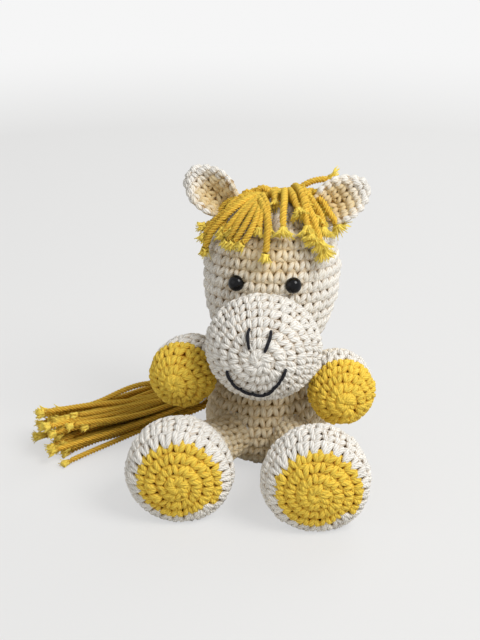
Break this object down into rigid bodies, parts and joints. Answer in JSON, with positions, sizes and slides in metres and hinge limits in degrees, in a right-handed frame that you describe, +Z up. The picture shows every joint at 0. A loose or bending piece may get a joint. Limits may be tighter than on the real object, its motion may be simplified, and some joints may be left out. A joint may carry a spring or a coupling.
{
  "type": "plush horse",
  "caption": "Crocheted toy horse that sits upright with stuffed head, muzzle, arms and legs, yarn forelock, mane and tail.",
  "frame": {"origin": "middle of the flat rest under the body, on the surface the toy sits on", "axes": "+Z up, the horse faces -Y, +X is the viewer's right when the viewer faces the horse"},
  "size_m": [0.138, 0.1052, 0.1119],
  "materials": {
    "cream_yarn": "crocheted worsted cotton, cream",
    "yellow_yarn": "worsted cotton, golden yellow",
    "black_thread": "embroidery thread, blue-black",
    "black_plastic": "polished black",
    "white_plastic": "milky white",
    "fibre_filling": "loose polyester fibre"
  },
  "bodies": {
    "torso": {"body_cover": "cream_yarn", "body_stuffing": "fibre_filling", "tail_knot": "yellow_yarn"},
    "head": {"head_cover": "cream_yarn", "head_stuffing": "fibre_filling", "neck_seam": "cream_yarn", "eye_left": "black_plastic", "eye_left_washer": "white_plastic", "eye_right": "black_plastic", "eye_right_washer": "white_plastic", "muzzle_cover": "cream_yarn", "muzzle_stuffing": "fibre_filling", "muzzle_seam": "cream_yarn", "nostril_left": "black_thread", "nostril_right": "black_thread", "mouth_thread": "black_thread", "ear_left": "cream_yarn", "ear_left_seam": "cream_yarn", "ear_right": "cream_yarn", "ear_right_seam": "cream_yarn", "forelock_left": "yellow_yarn", "forelock_right": "yellow_yarn", "mane_yarn": "yellow_yarn"},
    "arm_left": {"arm_left_sleeve": "cream_yarn", "arm_left_hoof": "yellow_yarn", "arm_left_stuffing": "fibre_filling", "shoulder_left_seam": "cream_yarn"},
    "arm_right": {"arm_right_sleeve": "cream_yarn", "arm_right_hoof": "yellow_yarn", "arm_right_stuffing": "fibre_filling", "shoulder_right_seam": "cream_yarn"},
    "leg_left": {"leg_left_sleeve": "cream_yarn", "leg_left_sole": "yellow_yarn", "leg_left_stuffing": "fibre_filling", "hip_left_seam": "cream_yarn"},
    "leg_right": {"leg_right_sleeve": "cream_yarn", "leg_right_sole": "yellow_yarn", "leg_right_stuffing": "fibre_filling", "hip_right_seam": "cream_yarn"},
    "tail": {"tail_yarn": "yellow_yarn"}
  },
  "joints": [
    {"name": "neck_nod", "type": "hinge", "parent": "torso", "child": "head", "pos_m": [0, 0, 0.043], "axis": [-1, 0, 0], "range_deg": [0, 8], "stiffness_Nm_per_rad": 0.06},
    {"name": "arm_left_swing", "type": "hinge", "parent": "torso", "child": "arm_left", "pos_m": [-0.01733, 0.00576, 0.03166], "axis": [0, 0, -1], "range_deg": [0, 20], "stiffness_Nm_per_rad": 0.01},
    {"name": "arm_right_swing", "type": "hinge", "parent": "torso", "child": "arm_right", "pos_m": [0.01732, 0.00576, 0.03167], "axis": [0, 0, 1], "range_deg": [0, 20], "stiffness_Nm_per_rad": 0.01},
    {"name": "leg_left_spread", "type": "hinge", "parent": "torso", "child": "leg_left", "pos_m": [-0.02002, -0.01529, 0.014], "axis": [0, 0, -1], "range_deg": [0, 12], "stiffness_Nm_per_rad": 0.03},
    {"name": "leg_right_spread", "type": "hinge", "parent": "torso", "child": "leg_right", "pos_m": [0.02003, -0.01528, 0.014], "axis": [0, 0, 1], "range_deg": [0, 12], "stiffness_Nm_per_rad": 0.03},
    {"name": "tail_swing", "type": "hinge", "parent": "torso", "child": "tail", "pos_m": [-0.00493, 0.02795, 0.01505], "axis": [0, 0, -1], "range_deg": [-10, 35], "stiffness_Nm_per_rad": 0.002}
  ]
}
